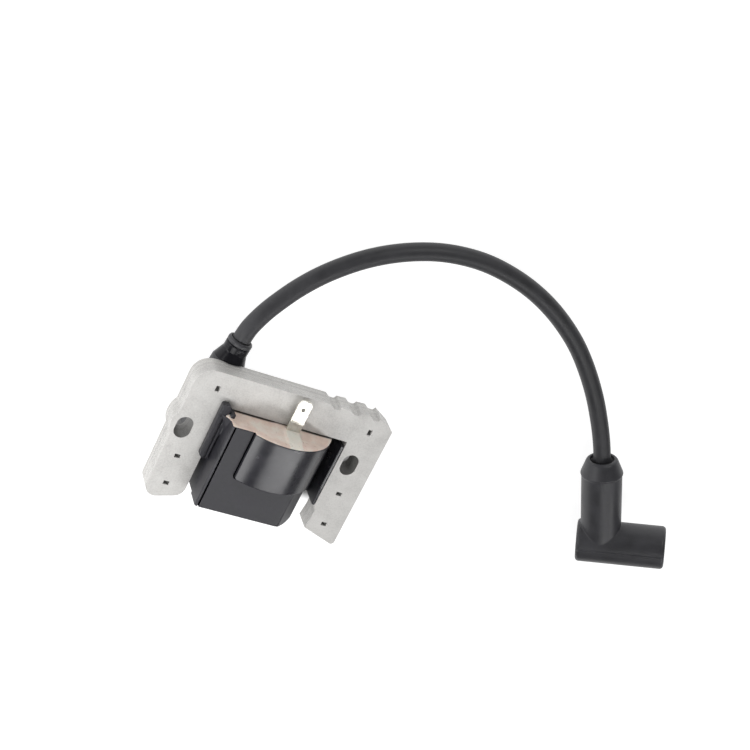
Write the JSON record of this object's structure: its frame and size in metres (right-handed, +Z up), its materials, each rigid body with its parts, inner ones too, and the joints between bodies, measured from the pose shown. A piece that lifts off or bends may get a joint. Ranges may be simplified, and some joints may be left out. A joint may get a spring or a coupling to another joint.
{
  "type": "small engine ignition coil",
  "caption": "Ignition coil: laminated E core with slotted mounting legs, potted black housing, blade terminal and a lead ending in a rubber elbow boot.",
  "frame": {"origin": "on the resting surface, under the middle of the coil's bounding box, without its lead and boot", "axes": "+X along the core's yoke towards the notched end, +Y from the pole ends to the yoke, +Z up out of the core's front face; the coil lies on the flat back of its housing"},
  "size_m": [0.2523, 0.1448, 0.0388],
  "materials": {
    "core_steel": "matt, lightly plated lamination steel",
    "housing_plastic": "semi-gloss moulded black plastic",
    "potting_epoxy": "glossy poured resin",
    "bobbin_nylon": "natural nylon",
    "enamelled_copper": "enamelled copper wire",
    "board_laminate": "solder-masked board",
    "component_black": "moulded package",
    "component_tan": "dipped coating",
    "tinned_brass": "tin plated",
    "brass": "plain brass",
    "boot_rubber": "moulded rubber",
    "lead_jacket": "smooth extruded jacket"
  },
  "bodies": {
    "coil": {"core_plate_01": "core_steel", "core_plate_02": "core_steel", "core_plate_03": "core_steel", "core_plate_04": "core_steel", "core_plate_05": "core_steel", "core_plate_06": "core_steel", "core_plate_07": "core_steel", "core_plate_08": "core_steel", "core_plate_09": "core_steel", "core_plate_10": "core_steel", "core_plate_11": "core_steel", "core_plate_12": "core_steel", "coil_housing": "housing_plastic", "potting_epoxy": "potting_epoxy", "primary_bobbin": "bobbin_nylon", "primary_winding": "enamelled_copper", "secondary_bobbin": "bobbin_nylon", "secondary_winding_1": "enamelled_copper", "secondary_winding_2": "enamelled_copper", "secondary_winding_3": "enamelled_copper", "secondary_winding_4": "enamelled_copper", "secondary_winding_5": "enamelled_copper", "circuit_board": "board_laminate", "power_transistor": "component_black", "capacitor": "component_tan", "resistor_1": "component_tan", "resistor_2": "component_tan", "zener_diode": "component_black", "kill_terminal": "tinned_brass", "ground_tab": "tinned_brass", "ht_terminal": "brass", "lead_seal": "boot_rubber", "ht_lead": "lead_jacket"},
    "boot": {"plug_boot": "boot_rubber", "plug_clip": "brass"}
  },
  "joints": [
    {"name": "boot_swivel", "type": "hinge", "parent": "coil", "child": "boot", "pos_m": [0.1559, 0.03454, 0.0094], "axis": [0.4566, -0.8846, 0.0946], "range_deg": [-30, 150]}
  ]
}
